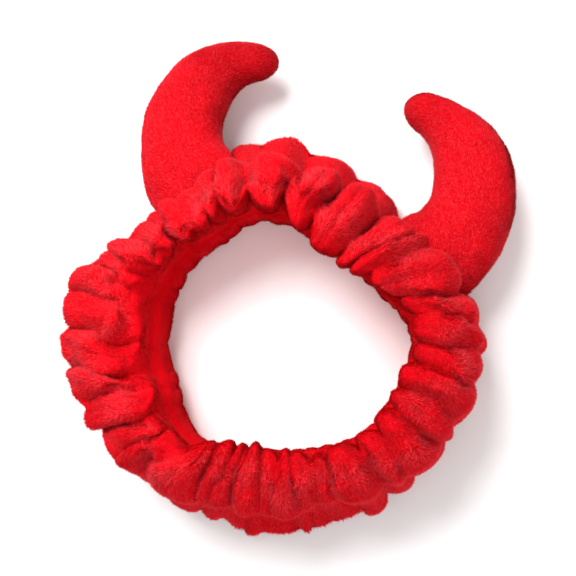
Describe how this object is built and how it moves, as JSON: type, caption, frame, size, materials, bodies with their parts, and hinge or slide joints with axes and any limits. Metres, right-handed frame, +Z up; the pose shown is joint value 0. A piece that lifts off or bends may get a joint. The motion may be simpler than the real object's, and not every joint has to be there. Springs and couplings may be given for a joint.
{
  "type": "horned plush headband",
  "caption": "Red plush headband: a wide gathered tube band lying on its rim, with a pair of stuffed crescent horns sewn into its outer face.",
  "frame": {"origin": "under the middle of the part's box, on the surface that the headband lies on", "axes": "+Z up along the axis of the head hole, +Y to the front, midway between the horns, +X towards horn_right"},
  "size_m": [0.2126, 0.2456, 0.0623],
  "materials": {
    "band_plush": "matte",
    "horn_plush": "matte"
  },
  "bodies": {
    "root": {"band": "band_plush", "horn_left": "horn_plush", "horn_right": "horn_plush"}
  },
  "joints": []
}
